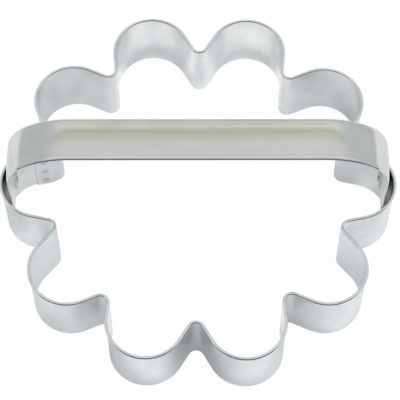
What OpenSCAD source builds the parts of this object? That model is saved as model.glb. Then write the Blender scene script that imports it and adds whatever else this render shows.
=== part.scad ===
// Flower cookie cutter: a tinplate strip bent into petals, with a strap handle across the top.
// The cutting edge lies on z = 0, the handle runs along x, and the flower's centre is the origin.

/* [Flower] */
// Number of petals round the flower
petal_count = 10; // [8:2:12]
// Distance from the flower's centre to the centre of each petal
petal_centre_r = 41; // [38:0.5:50]
// Radius of a petal, to the middle of the strip
petal_r = 9.7; // [8:0.1:11]
// Radius of the bend in the notch between two petals, to the middle of the strip
notch_r = 2.3; // [1.5:0.1:2.5]
// Angle between a petal's straight flank and the centre line of the notch
flank_angle = 30.5; // [26:0.5:36]
// Angle by which the flower is turned from the handle
flower_turn = -0.65; // [-2:0.05:2]

/* [Strip] */
// Height of the strip, from the cutting edge to the top of the rim
strip_h = 19.6; // [16:0.1:26]
// Thickness of the strip
strip_t = 0.36; // [0.25:0.01:0.5]
// Diameter of the rolled rim along the top of the strip
rim_d = 0.86; // [0.7:0.02:1.2]

/* [Seam] */
// Angle of the left petal's arc that the strip's inner end covers, before it runs down the flank
seam_arc = 2; // [1:0.5:20]
// Width of the joint line where the strip's outer end stops
joint_gap = 0.15; // [0.1:0.05:0.3]
// Number of spot welds up the seam
seam_weld_count = 4; // [2:1:5]
// Diameter of a seam weld, as a share of the room between flank and pitch
seam_weld_d_share = 0.8; // [0.5:0.05:0.8]
// Depth of the dimple over each face of a seam weld
seam_weld_dip = 0.05; // [0.02:0.01:0.1]

/* [Handle] */
// Height of the handle's top above the cutting edge
handle_h = 42.9; // [38:0.1:60]
// Width of the strap
strap_w = 11.5; // [8:0.1:13]
// Thickness of the strap's sheet
strap_t = 0.4; // [0.3:0.05:0.6]
// Outside radius of the bend at each end of the handle
bend_r = 14.8; // [6:0.1:18]
// Width over which each long edge of the strap is rolled down
roll_w = 1.6; // [1:0.1:2]
// Depth of the rolled edge's rounded shoulder
roll_h = 0.65; // [0.5:0.05:0.9]
// Radius under the rolled edge
lip_r = 0.2; // [0.15:0.05:0.4]
// Width of the hem folded under each long edge
hem_w = 1.9; // [1.7:0.1:3]
// Height of the leg's lower end above the cutting edge
leg_z = 8; // [4:0.5:12]
// Gap between the nearer leg and its petal's wall
leg_gap = 0.03; // [0.02:0.01:0.2]

/* [Leg welds] */
// Diameter of a leg weld
leg_weld_d = 1.5; // [1.2:0.1:2]
// Height of a leg weld
leg_weld_h = 2; // [1:0.25:3]
// Height of the lower leg weld's middle above the leg's end
leg_weld_lift = 2; // [1.5:0.25:4]
// Distance from the lower leg weld to the upper one
leg_weld_pitch = 4; // [3:0.25:6]

/* [Hidden] */
$fn = 96;
tin_colour = [0.79, 0.8, 0.8];
strap_colour = [0.75, 0.75, 0.74];
weld_colour = [0.55, 0.56, 0.57];
fine_fn = 360;        // for the thin wedges of weld metal
cut = 1;              // overrun of a cutting shape
edge_steps = 8;       // facets on a quarter of the strap's rolled edge
entry_l = 0.1;        // length by which one stretch runs on into the next
set_in = 0.01;        // depth of its faces inside the next one's
lap_press = 0.03;     // depth by which the seam's inner layer is pressed into the outer one
weld_clear = 0.02;    // gap between a leg weld and the petal's wall

// Angle by which each petal leans from its even place round the flower
petal_leans = [-0.15, -0.1, 0, 0.15, 0.1, 0.75, 1.3, 0.1, -0.15, -0.05];

// Flower outline: a flank touches the petal's circle and the notch's circle, and h is half the
// angle between two petals
notch_fit_share = 0.55;
left_petal = petal_count / 2;
wall_r = petal_r - strip_t / 2;
function petal_turn(k) =
    k * 360 / petal_count + flower_turn + petal_leans[(k + petal_count) % petal_count % len(petal_leans)];
function half_step(k) = (petal_turn(k + 1) - petal_turn(k)) / 2;
function apex_x(h) = petal_centre_r * cos(h)
    - (petal_centre_r * sin(h) * cos(flank_angle) - petal_r) / sin(flank_angle);
function petal_touch(h) = (petal_centre_r * cos(h) - apex_x(h)) * cos(flank_angle)
    + petal_centre_r * sin(h) * sin(flank_angle);
function notch_fit_r(h) = min(notch_r, notch_fit_share * petal_touch(h) * tan(flank_angle));
function notch_x(h) = apex_x(h) + notch_fit_r(h) / sin(flank_angle);
function flank_l(h) = petal_touch(h) - notch_fit_r(h) / tan(flank_angle);
function arc_half(h) = 90 + h - flank_angle;

// Seam: shares of the flank on which the strip's two ends overlap
weld_place_share = 0.44;
joint_place_share = 0.76;
taper_place_share = 0.88;
seam_half_step = half_step(left_petal - 1);
seam_flank_l = flank_l(seam_half_step);
seam_weld_pitch = (strip_h - rim_d) / seam_weld_count;
seam_weld_d = seam_weld_d_share * seam_flank_l * seam_weld_pitch / (seam_flank_l + seam_weld_pitch);

// Half of the strap's cross-section: x runs across it, and its outer face is on y = 0
shoulder = [for (i = [0:edge_steps])
    let (a = 90 * (1 - i / edge_steps))
    [strap_w / 2 - roll_w + roll_w * cos(a), -roll_h + roll_h * sin(a)]];
lip = [for (i = [1:edge_steps])
    let (a = -90 * i / edge_steps)
    [strap_w / 2 - lip_r + lip_r * cos(a), -roll_h + lip_r * sin(a)]];
hem_end = [[strap_w / 2 - hem_w, -roll_h - lip_r], [strap_w / 2 - hem_w, -strap_t]];
half_section = concat(shoulder, lip, hem_end);

// Legs: how far out a leg can stand before a rolled edge meets the petal's wall. The turn is the
// side petal's from the leg, and the side is that of the edge.
function reaches(turn, side) = [for (p = shoulder)
    petal_centre_r * cos(turn)
    + sqrt(wall_r * wall_r - pow(side * p.x - petal_centre_r * sin(turn), 2)) - p.y];
side_turns = [petal_turn(0), petal_turn(left_petal) - 180];
leg_x = min([for (turn = side_turns, side = [-1, 1]) min(reaches(turn, side))]) - leg_gap;
leg_l = handle_h - bend_r - leg_z;
flat_half_l = leg_x - bend_r;

// Cross-section of the strip, with its faces set in by s: x points out of the flower and y points up
module strip_section(s) {
    translate([-strip_t / 2 + s, 0])
        square([strip_t - 2 * s, strip_h - rim_d / 2]);
    translate([rim_d / 2 - strip_t / 2, strip_h - rim_d / 2])
        circle(d = rim_d - 2 * s);
}

// Straight stretch of the strip along y, running on into what lies before it and behind it
module straight_strip(length) {
    translate([0, length + entry_l, 0])
        rotate([90, 0, 0])
            linear_extrude(length + 2 * entry_l)
                strip_section(set_in);
}

module petal(h_before, h_after) {
    translate([petal_centre_r, 0, 0]) {
        rotate(-arc_half(h_before))
            rotate_extrude(angle = arc_half(h_before) + arc_half(h_after))
                translate([petal_r, 0])
                    strip_section(0);
        rotate(arc_half(h_after))
            translate([petal_r, 0, 0])
                straight_strip(flank_l(h_after));
        mirror([0, 1, 0])
            rotate(arc_half(h_before))
                translate([petal_r, 0, 0])
                    straight_strip(flank_l(h_before));
    }
}

module notch(h) {
    translate([notch_x(h), 0, 0])
        rotate(90 + flank_angle)
            rotate_extrude(angle = 180 - 2 * flank_angle)
                translate([notch_fit_r(h), 0])
                    mirror([1, 0])
                        strip_section(0);
}

// Places its children at the centre of the left petal, with the seam's side turned to y
module at_left_petal() {
    rotate(petal_turn(left_petal))
        translate([petal_centre_r, 0, 0])
            mirror([0, 1, 0])
                children();
}

// Places its children at the start of the left petal's back flank, with y running along the flank
module at_seam_flank() {
    at_left_petal()
        rotate(arc_half(seam_half_step))
            translate([petal_r, 0, 0])
                children();
}

// The strip's inner end, lying inside its outer end
module inner_end() {
    taper_y = seam_flank_l * taper_place_share;
    outer_x = -strip_t / 2 + 2 * set_in;
    inner_x = -strip_t * 3 / 2 + lap_press + 2 * set_in;
    at_left_petal()
        rotate(arc_half(seam_half_step) - seam_arc)
            rotate_extrude(angle = seam_arc)
                translate([petal_r - strip_t + lap_press, 0])
                    strip_section(0);
    at_seam_flank() {
        translate([-strip_t + lap_press, 0, 0])
            straight_strip(taper_y - entry_l);
        linear_extrude(strip_h - rim_d)
            polygon([
                [outer_x, seam_flank_l],
                [outer_x, taper_y - entry_l],
                [inner_x, taper_y - entry_l],
                [inner_x, taper_y]
            ]);
    }
}

// Round blanks up the seam, as thick as length says, centred on the lap
module seam_weld_row(length) {
    for (i = [0:seam_weld_count - 1])
        at_seam_flank()
            translate([-strip_t / 2, seam_flank_l * weld_place_share, (i + 1 / 2) * seam_weld_pitch])
                rotate([0, 90, 0])
                    cylinder(d = seam_weld_d, h = length, center = true);
}

module cutter_band() {
    color(tin_colour)
        difference() {
            union() {
                for (k = [0:petal_count - 1]) {
                    rotate(petal_turn(k))
                        petal(half_step(k - 1), half_step(k));
                    rotate(petal_turn(k) + half_step(k))
                        notch(half_step(k));
                }
                inner_end();
            }
            at_seam_flank()
                translate([-strip_t / 2, seam_flank_l * joint_place_share, -cut])
                    cube([rim_d + cut, joint_gap, strip_h + 2 * cut]);
            seam_weld_row(2 * strip_t + cut);
        }
}

// Cross-section of the whole strap
module strap_section() {
    mirrored = [for (i = [len(half_section) - 1:-1:0]) [-half_section[i].x, half_section[i].y]];
    polygon(concat(half_section, mirrored));
}

// Straight stretch of strap along x
module strap_run(length) {
    rotate([90, 0, 90])
        linear_extrude(length)
            strap_section();
}

// Quarter bend of the strap towards its inner face
module strap_bend() {
    translate([0, 0, -bend_r])
        rotate([-90, -90, 0])
            rotate_extrude(angle = 90)
                translate([bend_r, 0])
                    rotate(-90)
                        strap_section();
}

// The right half of the handle, from the middle to the leg's end
module half_handle() {
    translate([0, 0, handle_h]) {
        strap_run(flat_half_l);
        translate([flat_half_l, 0, 0]) {
            strap_bend();
            translate([bend_r, 0, -bend_r])
                rotate([0, 90, 0])
                    strap_run(leg_l);
        }
    }
}

module handle_strap() {
    color(strap_colour)
        for (side = [0, 180])
            rotate(side)
                half_handle();
}

// Weld metal in the wedges between a leg's two rolled edges and the petal's wall, on the right
module leg_welds(turn) {
    color(weld_colour)
        for (side = [-1, 1], i = [0, 1]) {
            reach = reaches(turn, side);
            nearest = min(reach);
            edge = [for (j = [0:edge_steps]) if (reach[j] == nearest) shoulder[j]][0];
            translate([0, 0, leg_z + leg_weld_lift + i * leg_weld_pitch])
                difference() {
                    intersection() {
                        translate([leg_x + edge.y, side * edge.x, 0])
                            cylinder(d = leg_weld_d, h = leg_weld_h, center = true, $fn = fine_fn);
                        rotate(turn)
                            translate([petal_centre_r, 0, 0])
                                cylinder(r = wall_r - weld_clear, h = 2 * leg_weld_h, center = true, $fn = fine_fn);
                    }
                    translate([leg_x, 0, -leg_weld_h])
                        rotate(-90)
                            linear_extrude(2 * leg_weld_h)
                                strap_section();
                }
        }
}

module right_leg_welds() {
    leg_welds(side_turns[0]);
}

module left_leg_welds() {
    rotate(180)
        leg_welds(side_turns[1]);
}

module seam_welds() {
    color(weld_colour)
        seam_weld_row(2 * strip_t - 2 * seam_weld_dip);
}

cutter_band();
handle_strap();
left_leg_welds();
right_leg_welds();
seam_welds();
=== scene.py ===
import bpy, math
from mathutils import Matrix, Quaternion, Vector


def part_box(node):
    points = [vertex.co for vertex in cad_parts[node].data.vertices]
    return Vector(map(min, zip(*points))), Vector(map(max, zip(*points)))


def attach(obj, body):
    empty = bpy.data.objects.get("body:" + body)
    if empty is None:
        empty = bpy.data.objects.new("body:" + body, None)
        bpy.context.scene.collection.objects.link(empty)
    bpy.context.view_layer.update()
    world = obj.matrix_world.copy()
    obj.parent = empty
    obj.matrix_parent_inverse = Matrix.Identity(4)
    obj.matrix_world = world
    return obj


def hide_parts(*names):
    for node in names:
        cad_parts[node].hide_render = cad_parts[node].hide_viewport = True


# Flower cookie cutter: a rolled-rim tinplate strip bent into petals, and a strap handle over it.
# Sizes in the dictionaries are in millimetres and degrees, and mm turns them into metres.
mm = 0.001
mergeDistance = 1e-7  # metres

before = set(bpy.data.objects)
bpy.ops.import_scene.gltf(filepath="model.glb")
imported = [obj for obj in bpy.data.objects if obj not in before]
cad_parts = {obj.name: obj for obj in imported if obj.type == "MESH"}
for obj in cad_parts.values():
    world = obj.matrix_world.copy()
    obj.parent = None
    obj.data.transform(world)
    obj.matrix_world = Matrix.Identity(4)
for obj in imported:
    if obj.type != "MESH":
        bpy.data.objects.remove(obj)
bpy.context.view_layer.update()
print("frame loaded")


# Hand tools

def clearSelection():
    bpy.ops.object.select_all(action="DESELECT")


# A closed outline, drawn point by point from one vertex; place turns a point into its spot in metres
def drawSection(name, points, place):
    clearSelection()
    bpy.ops.mesh.primitive_plane_add(size=mm)
    piece = bpy.context.object
    piece.name = name
    piece.data.name = name
    bpy.ops.object.mode_set(mode="EDIT")
    bpy.ops.mesh.select_mode(type="VERT")
    bpy.ops.mesh.select_all(action="SELECT")
    bpy.ops.mesh.merge(type="CENTER")
    spot = Vector((0, 0, 0))
    for i, point in enumerate(list(points) + [points[0]]):
        step = place(point) - spot
        if i == 0:
            bpy.ops.transform.translate(value=step)
        else:
            bpy.ops.mesh.extrude_vertices_move(TRANSFORM_OT_translate={"value": step})
        spot = spot + step
    bpy.ops.mesh.select_all(action="SELECT")
    bpy.ops.mesh.remove_doubles(threshold=mergeDistance)
    return piece


def pull(x, y, z):
    bpy.ops.mesh.extrude_region_move(TRANSFORM_OT_translate={"value": (x * mm, y * mm, z * mm)})


# With no window spin turns against the sign of its angle, so it gets the opposite one
def turn(centre, axis, angle, degreesPerStep):
    steps = max(2, round(abs(angle) / degreesPerStep))
    bpy.ops.mesh.spin(steps=steps, angle=math.radians(-angle), center=centre, axis=axis)


def closeMesh(piece, smoothAngle):
    bpy.ops.mesh.select_all(action="SELECT")
    bpy.ops.mesh.fill_holes(sides=0)
    bpy.ops.mesh.select_all(action="SELECT")
    bpy.ops.mesh.normals_make_consistent(inside=False)
    bpy.ops.object.mode_set(mode="OBJECT")
    bpy.ops.object.shade_smooth_by_angle(angle=math.radians(smoothAngle))
    return piece


# The cutter band

band = {
    "petals": 10,
    "petalCentre": 41,
    "petalRadius": 9.7,
    "notchRadius": 2.3,
    "notchFit": 0.55,  # the most of the room between two flanks that a notch takes
    "flankAngle": 30.5,
    "turn": -0.65,
    "leans": [-0.15, -0.1, 0, 0.15, 0.1, 0.75, 1.3, 0.1, -0.15, -0.05],
    "height": 19.6,
    "sheet": 0.36,
    "bead": 0.86,
    "beadFacets": 22,
    "wallRows": 9,
    "edgeRound": 0.05,
    "degreesPerStep": 2.5,
    "notchDegreesPerStep": 7.5,
    "flankSteps": 3,
    "seamSteps": 2,
    "smoothAngle": 35,
    # the seam: its places are shares of the flank that it lies on
    "jointPlace": 0.76,
    "jointGap": 0.15,
    "lapArc": 2,  # how far round the petal the inner end runs on
    "lapTop": 18.9,
    "lapGap": 0.005,
    "lapSink": 0.01,  # how far the inner lap's foot lies inside the outer sheet
    "lapBevel": 0.26,
    "bevelReach": 0.02,  # how near to the bevelled corner its vertices lie
    "bevelSlope": 0.01,  # a bevelled face's normal is upright by less than this
    "jogPlaces": (0.84, 0.95),
    # and its welds
    "spots": 4,
    "spotPlace": 0.44,
    "spotSize": 0.8,
    "spotRise": 0.03,
    "spotDimple": [(0, 0.02), (0.6, 0.015), (0.8, 0), (0.95, 0.01)],  # radius share, depth below top
    "spotSink": 0.02,  # how far the ring's foot lies inside the sheet
    "spotDegreesPerStep": 12,
    "spotSmoothAngle": 50,
}


def petalTurn(k):
    return k * 360 / band["petals"] + band["turn"] + band["leans"][k % band["petals"]]


def halfStep(k):
    return (petalTurn(k + 1) - petalTurn(k)) / 2


def outline(half):
    c, r, flank = band["petalCentre"], band["petalRadius"], math.radians(band["flankAngle"])
    h = math.radians(half)
    apex = c * math.cos(h) - (c * math.sin(h) * math.cos(flank) - r) / math.sin(flank)
    touch = (c * math.cos(h) - apex) * math.cos(flank) + c * math.sin(h) * math.sin(flank)
    bend = min(band["notchRadius"], band["notchFit"] * touch * math.tan(flank))
    return {
        "notch": apex + bend / math.sin(flank),
        "flank": touch - bend / math.tan(flank),
        "arc": 90 + half - band["flankAngle"],
    }


def around(radius, angle):
    return Vector((radius * math.cos(math.radians(angle)), radius * math.sin(math.radians(angle)), 0))


def stripSection():
    t, top, d = band["sheet"], band["height"], band["bead"]
    beadX, beadZ, e = d / 2 - t / 2, top - d / 2, band["edgeRound"]
    tuck = math.degrees(math.acos((beadX - t / 2) / (d / 2)))
    start = -180 + tuck
    points = []
    for i in range(band["beadFacets"] + 1):
        a = math.radians(start + (180 - start) * i / band["beadFacets"])
        points.append((beadX + d / 2 * math.cos(a), beadZ + d / 2 * math.sin(a)))
    rows = band["wallRows"]
    points += [(-t / 2, beadZ + (e - beadZ) * i / rows) for i in range(1, rows + 1)]
    points += [(-t / 2 + e, 0), (t / 2 - e, 0)]
    low = points[0][1]
    points += [(t / 2, e + (low - e) * i / rows) for i in range(rows)]
    return points


def bevelUpright(piece, corner, width):
    clearSelection()
    piece.select_set(True)
    bpy.context.view_layer.objects.active = piece
    mesh = piece.data
    reach = band["bevelReach"] * mm
    near = [(v.co.xy - corner.xy * mm).length < reach for v in mesh.vertices]
    for face in mesh.polygons:
        face.select = False
    for edge in mesh.edges:
        edge.select = near[edge.vertices[0]] and near[edge.vertices[1]]
    for v, chosen in zip(mesh.vertices, near):
        v.select = chosen
    bpy.ops.object.mode_set(mode="EDIT")
    bpy.ops.mesh.select_mode(type="EDGE")
    bpy.ops.mesh.bevel(offset=width * mm, segments=1)
    bpy.ops.object.mode_set(mode="OBJECT")


def buildBand():
    last = band["petals"] // 2
    c = band["petalCentre"]
    lap = outline(halfStep(last - 1))
    startAngle = petalTurn(last) - lap["arc"]
    outward, along = around(1, startAngle), around(1, startAngle + 90)
    origin = around(c, petalTurn(last)) + outward * band["petalRadius"]
    joint = lap["flank"] * band["jointPlace"]
    base = origin - along * joint
    piece = drawSection("cutterBand", stripSection(),
                        lambda p: (base + outward * p[0] + Vector((0, 0, p[1]))) * mm)
    step = joint / band["seamSteps"]
    for i in range(band["seamSteps"]):
        pull(along.x * step, along.y * step, 0)
    for k in range(last, last + band["petals"]):
        before, after = outline(halfStep(k - 1)), outline(halfStep(k))
        turn(around(c * mm, petalTurn(k)), (0, 0, 1), before["arc"] + after["arc"], band["degreesPerStep"])
        way = around(1, petalTurn(k) + after["arc"] + 90) * (after["flank"] / band["flankSteps"])
        for i in range(band["flankSteps"]):
            pull(way.x, way.y, 0)
        turn(around(after["notch"] * mm, petalTurn(k) + halfStep(k)), (0, 0, 1),
             2 * band["flankAngle"] - 180, band["notchDegreesPerStep"])
        if k < last + band["petals"] - 1:
            way = around(1, petalTurn(k + 1) - after["arc"] + 90) * (after["flank"] / band["flankSteps"])
            for i in range(band["flankSteps"]):
                pull(way.x, way.y, 0)
    end = lap["flank"] * (1 - band["jointPlace"]) - band["jointGap"]
    pull(along.x * end, along.y * end, 0)
    closeMesh(piece, band["smoothAngle"])
    print("band strip:", len(piece.data.polygons), "faces")

    # the strip's inner end: a flat tongue that steps inwards and lies behind the other end
    t, e = band["sheet"], band["edgeRound"]
    inset = t + band["lapGap"]
    flat = [(-t / 2, e), (-t / 2 + e, 0), (t / 2 - e, 0), (t / 2, e),
            (t / 2, band["lapTop"] - e), (t / 2 - e, band["lapTop"]), (-t / 2 + e, band["lapTop"]),
            (-t / 2, band["lapTop"] - e)]
    jogEnd, jogStart = [lap["flank"] * share for share in band["jogPlaces"]]
    foot = origin - along * jogStart - outward * band["lapSink"]
    tongue = drawSection("innerLap", flat, lambda p: (foot + outward * p[0] + Vector((0, 0, p[1]))) * mm)
    jog = along * (jogStart - jogEnd) - outward * (inset - band["lapSink"])
    pull(jog.x, jog.y, 0)
    run = along * jogEnd
    pull(run.x, run.y, 0)
    way = around(1, startAngle + 90 + band["lapArc"] / 2) * band["petalRadius"] * math.radians(band["lapArc"])
    pull(way.x, way.y, 0)
    closeMesh(tongue, band["smoothAngle"])
    corner = origin - outward * (inset + t / 2) + way
    bevelUpright(tongue, corner, band["lapBevel"])
    clearSelection()
    tongue.select_set(True)
    piece.select_set(True)
    bpy.context.view_layer.objects.active = piece
    bpy.ops.object.join()
    return piece, {
        "origin": origin,
        "along": along,
        "outward": outward,
        "flank": lap["flank"],
        "lapEnd": corner,
    }


# Weld marks up the seam: low rings on both faces of the lap, round a shallow dimple
def buildSpots(seam):
    pitch = (band["height"] - band["bead"]) / band["spots"]
    size = band["spotSize"] * seam["flank"] * pitch / (seam["flank"] + pitch)
    r, t, rise = size / 2, band["sheet"], band["spotRise"]
    middle = seam["origin"] - seam["outward"] * (t / 2) - seam["along"] * (seam["flank"] * band["spotPlace"])
    top = t + rise
    profile = [(r * share, top - depth) for share, depth in band["spotDimple"]] + [(r, t - band["spotSink"])]
    profile += [(x, -y) for x, y in reversed(profile)]
    marks = []
    for i in range(band["spots"]):
        centre = middle + Vector((0, 0, (i + 0.5) * pitch))
        mark = drawSection("seamSpots", profile,
                           lambda p: (centre + seam["along"] * p[0] + seam["outward"] * p[1]) * mm)
        bpy.ops.mesh.select_all(action="SELECT")
        turn(centre * mm, seam["outward"], 360, band["spotDegreesPerStep"])
        bpy.ops.mesh.select_all(action="SELECT")
        bpy.ops.mesh.remove_doubles(threshold=mergeDistance)
        marks.append(closeMesh(mark, band["spotSmoothAngle"]))
    clearSelection()
    for mark in marks:
        mark.select_set(True)
    bpy.context.view_layer.objects.active = marks[0]
    bpy.ops.object.join()
    return marks[0]


cutterBand, seam = buildBand()
seamSpots = buildSpots(seam)
print("band built")


# The handle strap

strap = {
    "top": 42.9,
    "legEnd": 8,
    "width": 11.5,
    "sheet": 0.4,
    "easeRadius": 20,  # the bend starts on this radius
    "easeAngle": 34,
    "bendRadius": 12.9,  # and ends on this one
    "shoulder": 1.6,
    "shoulderDrop": 0.65,
    "crown": 0.16,  # rise of the top between its two rolled edges
    "lip": 0.2,
    "hemWidth": 1.9,
    "hemSheet": 0.36,
    "hemRound": 0.06,
    "hemCurl": 0.03,
    "paintedShadeTop": 18.6,  # painted shade of the slit: dark tin on the legs and behind them, up to this height
    "paintedShadeWidth": 9,
    "paintedShadeFacing": 0.3,  # the least that a leg's dark faces look outwards
    "facets": 10,
    "legSteps": 4,
    "topSteps": 8,
    "degreesPerStep": 3,
    "smoothAngle": 40,
}


# Right half from the middle of the top round the hem to the underside, then the left one mirrored
def strapSection():
    w, t, drop, lip = strap["width"] / 2, strap["sheet"], strap["shoulderDrop"], strap["lip"]
    flat, n = w - strap["shoulder"], strap["facets"]
    right = [(flat * i / n, -strap["crown"] * (i / n) ** 2) for i in range(1, n)]
    for i in range(n + 1):
        a = math.radians(90 - 90 * i / n)
        fall = (drop - strap["crown"]) * (1 - math.sin(a))
        right.append((flat + strap["shoulder"] * math.cos(a), -strap["crown"] - fall))
    for i in range(1, n // 2 + 1):
        a = math.radians(-180 * i / n)
        right.append((w - lip + lip * math.cos(a), -drop + lip * math.sin(a)))
    low, edge, curl = -drop - lip, w - strap["hemWidth"], w - t
    high, e, bulge = low + strap["hemSheet"], strap["hemRound"], strap["hemCurl"]
    right += [(edge + e, low), (edge, low + e), (edge, high - e), (edge + e, high)]
    right += [(curl, high), (curl + bulge, high + bulge), (curl, high + e)]
    right += [(flat, -strap["crown"] - t), (flat / 2, -strap["crown"] / 4 - t)]
    return [(-x, y) for x, y in reversed(right)] + [(0, 0)] + right + [(0, -t)]


def buildStrap():
    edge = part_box("handle_strap")[1].x / mm
    wide, tight, ease = strap["easeRadius"], strap["bendRadius"], strap["easeAngle"]
    sine, cosine = math.sin(math.radians(ease)), math.cos(math.radians(ease))
    across = edge - tight - (wide - tight) * sine
    legTop = strap["top"] - wide * (1 - cosine) - tight * cosine
    low = strap["legEnd"]
    piece = drawSection("handleStrap", strapSection(),
                        lambda p: Vector((-edge - p[1], p[0], low)) * mm)
    for i in range(strap["legSteps"]):
        pull(0, 0, (legTop - low) / strap["legSteps"])
    turn(Vector((tight - edge, 0, legTop)) * mm, (0, 1, 0), 90 - ease, strap["degreesPerStep"])
    turn(Vector((-across, 0, strap["top"] - wide)) * mm, (0, 1, 0), ease, strap["degreesPerStep"])
    for i in range(strap["topSteps"]):
        pull(2 * across / strap["topSteps"], 0, 0)
    turn(Vector((across, 0, strap["top"] - wide)) * mm, (0, 1, 0), ease, strap["degreesPerStep"])
    turn(Vector((edge - tight, 0, legTop)) * mm, (0, 1, 0), 90 - ease, strap["degreesPerStep"])
    for i in range(strap["legSteps"]):
        pull(0, 0, (low - legTop) / strap["legSteps"])
    return closeMesh(piece, strap["smoothAngle"])


handleStrap = buildStrap()
print("strap built")


# Materials

def newMaterial(name):
    material = bpy.data.materials.new(name)
    material.use_nodes = True
    tree = material.node_tree
    return material, tree, tree.nodes["Principled BSDF"]


def addNode(tree, kind, values=(), **settings):
    node = tree.nodes.new(kind)
    for key, value in settings.items():
        setattr(node, key, value)
    for socket, value in dict(values).items():
        node.inputs[socket].default_value = value
    return node


def addRamp(tree, source, stops):
    ramp = addNode(tree, "ShaderNodeValToRGB")
    tree.links.new(source, ramp.inputs["Fac"])
    points = ramp.color_ramp.elements
    while len(points) < len(stops):
        points.new(0.5)  # moved to its own place below
    for point, (place, colour) in zip(points, stops):
        point.position = place
        point.color = (*colour, 1)
    return ramp.outputs["Color"]


def stretchedNoise(tree, coords, stretch, values):
    mapping = addNode(tree, "ShaderNodeMapping", {"Scale": stretch})
    tree.links.new(coords, mapping.inputs["Vector"])
    noise = addNode(tree, "ShaderNodeTexNoise", values)
    tree.links.new(mapping.outputs["Vector"], noise.inputs["Vector"])
    return noise.outputs["Fac"]


def darken(tree, colour, source, places, shade):
    tone = addRamp(tree, source, [(places[0], (shade,) * 3), (places[1], (1, 1, 1))])
    mix = addNode(tree, "ShaderNodeMix", {"Factor": 1}, data_type="RGBA", blend_type="MULTIPLY")
    tree.links.new(colour, mix.inputs["A"])
    tree.links.new(tone, mix.inputs["B"])
    return mix.outputs["Result"]


# What every tinplate finish shares; the looks further down say where each one differs.
# Scales of noises, grain and smudges are per metre, depths of waves and grain in millimetres
tinplate = {
    "cloud": {"Scale": 90, "Detail": 3, "Roughness": 0.55},
    "grain": {"Scale": 1, "Detail": 4, "Roughness": 0.6},
    "smudge": {"Scale": 1, "Detail": 2, "Roughness": 0.5},
    "waveDetail": 1,
    "places": (0.3, 0.7),  # where in a noise its dark ends and its bright begins
    "smudgePlaces": (0.35, 0.65),
}


def rolledTinplate(name, look):
    material, tree, shader = newMaterial(name)
    link = tree.links.new
    coords = addNode(tree, "ShaderNodeTexCoord").outputs["Object"]
    shader.inputs["Metallic"].default_value = 1

    # Colour: soft clouds, the rolling lines and the smudges, one on the other
    low, high = tinplate["places"]
    cloud = addNode(tree, "ShaderNodeTexNoise", tinplate["cloud"])
    link(coords, cloud.inputs["Vector"])
    colour = addRamp(tree, cloud.outputs["Fac"], [(low, look["shade"]), (high, look["bright"])])
    grain = stretchedNoise(tree, coords, look["grain"], tinplate["grain"])
    colour = darken(tree, colour, grain, tinplate["places"], look["grainShade"])
    smudge = stretchedNoise(tree, coords, look["smudge"], tinplate["smudge"])
    colour = darken(tree, colour, smudge, tinplate["smudgePlaces"], look["smudgeShade"])
    link(colour, shader.inputs["Base Color"])

    rough = addNode(tree, "ShaderNodeMapRange", {
        "From Min": low,
        "From Max": high,
        "To Min": look["roughness"][0],
        "To Max": look["roughness"][1],
    })
    link(grain, rough.inputs["Value"])
    link(rough.outputs["Result"], shader.inputs["Roughness"])

    # Bump: the sheet's slow waviness, and the rolling lines on it
    wave = addNode(tree, "ShaderNodeTexNoise", {"Scale": look["waveScale"], "Detail": tinplate["waveDetail"]})
    link(coords, wave.inputs["Vector"])
    waveBump = addNode(tree, "ShaderNodeBump", {"Strength": 1, "Distance": look["waveDepth"] * mm})
    link(wave.outputs["Fac"], waveBump.inputs["Height"])
    grainBump = addNode(tree, "ShaderNodeBump", {"Strength": 1, "Distance": look["grainDepth"] * mm})
    link(grain, grainBump.inputs["Height"])
    link(waveBump.outputs["Normal"], grainBump.inputs["Normal"])
    link(grainBump.outputs["Normal"], shader.inputs["Normal"])
    return material


bandLook = {
    "shade": (0.755, 0.78, 0.79),
    "bright": (0.865, 0.885, 0.89),
    "grain": (60, 60, 1500),
    "grainShade": 0.975,
    "smudge": (200, 200, 110),
    "smudgeShade": 0.92,
    "roughness": (0.2, 0.26),
    "waveScale": 70,
    "waveDepth": 0.15,
    "grainDepth": 0.0006,
}
strapLook = {
    "shade": (0.64, 0.655, 0.64),
    "bright": (0.70, 0.71, 0.695),
    "grain": (25, 1500, 25),
    "grainShade": 0.95,
    "smudge": (30, 120, 60),
    "smudgeShade": 0.95,
    "roughness": (0.1, 0.15),
    "waveScale": 60,
    "waveDepth": 0.1,
    "grainDepth": 0.0005,
}
weldLook = {
    "shade": (0.50, 0.515, 0.52),
    "bright": (0.60, 0.61, 0.61),
    "grain": (900, 900, 900),
    "grainShade": 0.9,
    "smudge": (900, 900, 900),
    "smudgeShade": 0.9,
    "roughness": (0.4, 0.55),
    "waveScale": 700,
    "waveDepth": 0.05,
    "grainDepth": 0.004,
}
# Painted shade: near-black tin standing for the shade in the slit between leg and petal
paintedShadeLook = {
    **weldLook,
    "shade": (0.13, 0.14, 0.13),
    "bright": (0.17, 0.18, 0.165),
    "roughness": (0.3, 0.4),
}
spotLook = {
    **bandLook,
    "shade": (0.56, 0.59, 0.60),
    "bright": (0.64, 0.67, 0.68),
    "roughness": (0.3, 0.36),
}
bandTin = rolledTinplate("rolledTin", bandLook)
strapTin = rolledTinplate("strapTin", strapLook)
weldMetal = rolledTinplate("weldMetal", weldLook)
spotTin = rolledTinplate("spotTin", spotLook)
paintedShadeTin = rolledTinplate("paintedShadeTin", paintedShadeLook)


def dress(piece, material, slotName, *nodes):
    piece.data.materials.clear()
    piece.data.materials.append(material)
    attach(piece, "root")
    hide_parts(*nodes)


dress(cutterBand, bandTin, "band_tinplate", "cutter_band")
dress(handleStrap, strapTin, "strap_tinplate", "handle_strap")
dress(seamSpots, spotTin, "weld_metal", "seam_welds")
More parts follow.
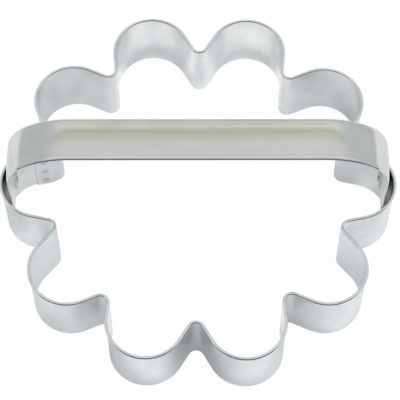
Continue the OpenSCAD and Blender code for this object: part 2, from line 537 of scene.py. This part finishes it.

# The lap's bevelled end shows duller tin. Where the legs are, dark tin paints the shade of the slit
# between leg and petal, on both sides of it
cutterBand.data.materials.append(spotTin)
cutterBand.data.materials.append(paintedShadeTin)
lapEnd = seam["lapEnd"].xy * mm
paintedShadeHalf, paintedShadeTop = strap["paintedShadeWidth"] / 2 * mm, strap["paintedShadeTop"] * mm
for face in cutterBand.data.polygons:
    place = face.center
    atLapEnd = (place.xy - lapEnd).length < band["lapBevel"] * mm
    inward = face.normal.x * place.x < 0
    if atLapEnd and abs(face.normal.z) < band["bevelSlope"]:
        face.material_index = 1
    elif inward and abs(place.y) < paintedShadeHalf and place.z < paintedShadeTop:
        face.material_index = 2
# The legs' outer faces below the rim get the painted shade of the slit too
handleStrap.data.materials.append(paintedShadeTin)
for face in handleStrap.data.polygons:
    place = face.center
    outward = face.normal.x * place.x > strap["paintedShadeFacing"] * abs(place.x)
    if outward and place.z < paintedShadeTop:
        face.material_index = 1

# The leg welds keep their CAD solids
for nodeName in ("left_leg_welds", "right_leg_welds"):
    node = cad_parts[nodeName]
    node.data.materials.clear()
    node.data.materials.append(weldMetal)
print("materials made")


# Studio: a white floor, and soft light: dark low in front, bright overhead, grey behind with one bright strip

studio = {
    "floorSize": 6,  # metres, as the lamp's size and place are
    "floorRoughness": 0.9,
    "floorGlow": 0.96,  # how much of the floor's white the camera sees as plain light
    # what the metal sees of the floor, by its place in y: its tone, and its share of plain light; together
    # they paint the light and shade that the metal mirrors
    "floorInMetal": [
        (-80, 0.1, 0),
        (-66, 0.53, 0.08),
        (-60, 0.765, 0.13),
        (-53, 0.875, 0.19),
        (-46, 0.785, 0.03),
        (-41, 0.77, 0.02),
        (-35, 0.855, 0.28),
        (-20, 0.8, 0.28),
        (-4, 0.84, 0.66),
        (8, 0.84, 0.66),
        (18, 0.8, 0.36),
        (29, 0.765, 0.2),
        (32.5, 0.8, 0.75),
        (36.3, 0.8, 0.75),
        (38.3, 0.97, 1),
        (42.9, 0.97, 1),
        (45.6, 0.73, 0.33),
        (47.2, 0.76, 0.45),
        (49.5, 0.9, 0.8),
    ],
    # and by its place in x: how much of that tone and of that share is left, painting shade beside the cutter
    # and in the pockets by the legs
    "floorAcross": [
        (-84, 1, 0.4),
        (-58, 0.9, 0.1),
        (-52, 0.96, 0.1),
        (-47, 1, 1),
        (-43, 1, 1),
        (-41, 1, 0.4),
        (-29, 1, 0.4),
        (-22, 1, 1),
        (-8, 1, 1),
        (-4, 0.94, 0.5),
        (4, 0.94, 0.5),
        (8, 1, 1),
        (22, 1, 1),
        (29, 1, 0.4),
        (40, 1, 0.4),
        (42, 1, 0.65),
        (44, 1, 0.95),
        (46, 1, 0.8),
        (50, 0.97, 0.1),
        (58, 0.9, 0.1),
        (84, 1, 0.65),
    ],
    "floorTint": (0.965, 0.99, 1),
    # angle from the front horizon over the top to the back one, and the light's colour there
    "sky": [
        (0, (0.16, 0.165, 0.17)),
        (45, (0.18, 0.185, 0.19)),
        (65, (0.45, 0.46, 0.47)),
        (84, (0.95, 0.95, 0.95)),
        (97, (1.0, 1.0, 1.0)),
        (103, (0.74, 0.75, 0.76)),
        (110, (0.87, 0.88, 0.88)),
        (116, (0.86, 0.86, 0.85)),
        (120.6, (0.72, 0.73, 0.65)),
        (124.3, (0.56, 0.57, 0.46)),
        (125.9, (1.0, 1.0, 0.89)),
        (130.2, (1.0, 1.0, 0.93)),
        (133.5, (0.80, 0.81, 0.77)),
        (140, (0.72, 0.73, 0.72)),
        (180, (0.70, 0.71, 0.71)),
    ],
    "sideLight": (0.68, 0.70, 0.71),
    "sideFrom": 0.5,
    "sideTo": 0.85,
    "backLean": 0.5,
    "lampSize": (1.3, 0.25),
    "lampPlace": (0.12, -0.12, 1),
    "lampWatts": 8,
}


def buildWorld():
    world = bpy.data.worlds.new("softStudio")
    bpy.context.scene.world = world
    world.use_nodes = True
    tree = world.node_tree
    link = tree.links.new
    direction = addNode(tree, "ShaderNodeTexCoord").outputs["Generated"]
    parts = addNode(tree, "ShaderNodeSeparateXYZ")
    link(direction, parts.inputs["Vector"])

    # The angle over from the front horizon, as a share of half a turn, picks the colour
    front = addNode(tree, "ShaderNodeMath", {1: -1}, operation="MULTIPLY")
    link(parts.outputs["Y"], front.inputs[0])
    angle = addNode(tree, "ShaderNodeMath", operation="ARCTAN2")
    link(parts.outputs["Z"], angle.inputs[0])
    link(front.outputs[0], angle.inputs[1])
    share = addNode(tree, "ShaderNodeMath", {1: math.pi}, operation="DIVIDE")
    link(angle.outputs[0], share.inputs[0])
    sky = addRamp(tree, share.outputs[0], [(a / 180, colour) for a, colour in studio["sky"]])

    # Towards the sides, and sooner behind than in front, the sky fades into the side light
    size = addNode(tree, "ShaderNodeMath", operation="ABSOLUTE")
    link(parts.outputs["X"], size.inputs[0])
    lean = addNode(tree, "ShaderNodeMath", {1: studio["backLean"]}, operation="MULTIPLY_ADD")
    link(parts.outputs["Y"], lean.inputs[0])
    link(size.outputs[0], lean.inputs[2])
    side = addNode(tree, "ShaderNodeMapRange", {"From Min": studio["sideFrom"], "From Max": studio["sideTo"]},
                   interpolation_type="SMOOTHSTEP")
    link(lean.outputs[0], side.inputs["Value"])
    mix = addNode(tree, "ShaderNodeMix", data_type="RGBA")
    link(side.outputs["Result"], mix.inputs["Factor"])
    link(sky, mix.inputs["A"])
    mix.inputs["B"].default_value = (*studio["sideLight"], 1)
    link(mix.outputs["Result"], tree.nodes["Background"].inputs["Color"])


def buildFloor():
    clearSelection()
    bpy.ops.mesh.primitive_plane_add(size=studio["floorSize"])
    floor = bpy.context.object
    floor.name = "paleFloor"
    material, tree, shader = newMaterial("paleFloor")
    link = tree.links.new
    shader.inputs["Roughness"].default_value = studio["floorRoughness"]
    shader.inputs["Specular IOR Level"].default_value = 0
    place = addNode(tree, "ShaderNodeSeparateXYZ")
    link(addNode(tree, "ShaderNodeTexCoord").outputs["Object"], place.inputs["Vector"])
    shares = []
    for key, axis in (("floorInMetal", "Y"), ("floorAcross", "X")):
        stops = studio[key]
        first, last = stops[0][0], stops[-1][0]
        along = addNode(tree, "ShaderNodeMapRange", {"From Min": first * mm, "From Max": last * mm})
        link(place.outputs[axis], along.inputs["Value"])
        ramp = addRamp(tree, along.outputs["Result"],
                       [((at - first) / (last - first), (tone, share, 0)) for at, tone, share in stops])
        split = addNode(tree, "ShaderNodeSeparateColor")
        link(ramp, split.inputs["Color"])
        shares.append(split.outputs)
    dimmed = []
    for channel in ("Red", "Green"):
        value = addNode(tree, "ShaderNodeMath", operation="MULTIPLY")
        link(shares[0][channel], value.inputs[0])
        link(shares[1][channel], value.inputs[1])
        dimmed.append(value.outputs[0])
    tone = addNode(tree, "ShaderNodeVectorMath", {"Vector": studio["floorTint"]}, operation="SCALE")
    link(dimmed[0], tone.inputs["Scale"])
    link(tone.outputs["Vector"], shader.inputs["Base Color"])

    # Plain light for the camera, and by the shares above for what the metal mirrors; the rest is lit floor
    rays = addNode(tree, "ShaderNodeLightPath")
    inMetal = addNode(tree, "ShaderNodeMath", operation="MAXIMUM")
    link(rays.outputs["Is Glossy Ray"], inMetal.inputs[0])
    link(rays.outputs["Is Transmission Ray"], inMetal.inputs[1])
    metalGlow = addNode(tree, "ShaderNodeMath", operation="MULTIPLY")
    link(inMetal.outputs[0], metalGlow.inputs[0])
    link(dimmed[1], metalGlow.inputs[1])
    amount = addNode(tree, "ShaderNodeMath", {1: studio["floorGlow"]}, operation="MULTIPLY_ADD")
    link(rays.outputs["Is Camera Ray"], amount.inputs[0])
    link(metalGlow.outputs[0], amount.inputs[2])
    glow = addNode(tree, "ShaderNodeEmission", {"Color": (1, 1, 1, 1), "Strength": 1})
    mix = addNode(tree, "ShaderNodeMixShader")
    link(amount.outputs[0], mix.inputs[0])
    link(shader.outputs[0], mix.inputs[1])
    link(glow.outputs[0], mix.inputs[2])
    link(mix.outputs[0], tree.nodes["Material Output"].inputs["Surface"])
    floor.data.materials.append(material)


def buildLamp():
    data = bpy.data.lights.new("softbox", "AREA")
    data.shape = "RECTANGLE"
    data.size, data.size_y = studio["lampSize"]
    data.energy = studio["lampWatts"]
    lamp = bpy.data.objects.new("softbox", data)
    lamp.location = studio["lampPlace"]
    lamp.rotation_mode = "QUATERNION"
    lamp.rotation_quaternion = lamp.location.to_track_quat("Z", "Y")
    lamp.visible_glossy = False
    bpy.context.scene.collection.objects.link(lamp)


buildWorld()
buildFloor()
buildLamp()
print("studio built")


# Camera

view = {
    "lens": 167.0,
    "sensor": 36,
    "clipStart": 10,
    "distance": 499.253,
    "elevation": 63.552,
    "azimuth": -0.01,
    "roll": 0.033,
    "target": (0.544, 4.299, 0),
}


def buildCamera():
    data = bpy.data.cameras.new("camera")
    data.lens = view["lens"]
    data.sensor_width = view["sensor"]
    data.clip_start = view["clipStart"] * mm
    camera = bpy.data.objects.new("camera", data)
    bpy.context.scene.collection.objects.link(camera)
    up, side, roll = [math.radians(view[key]) for key in ("elevation", "azimuth", "roll")]
    back = Vector((math.sin(side) * math.cos(up), -math.cos(side) * math.cos(up), math.sin(up)))
    camera.location = (Vector(view["target"]) + back * view["distance"]) * mm
    camera.rotation_mode = "QUATERNION"
    camera.rotation_quaternion = Quaternion(back, -roll) @ back.to_track_quat("Z", "Y")
    bpy.context.scene.camera = camera


buildCamera()
bpy.context.scene.view_settings.view_transform = "Standard"
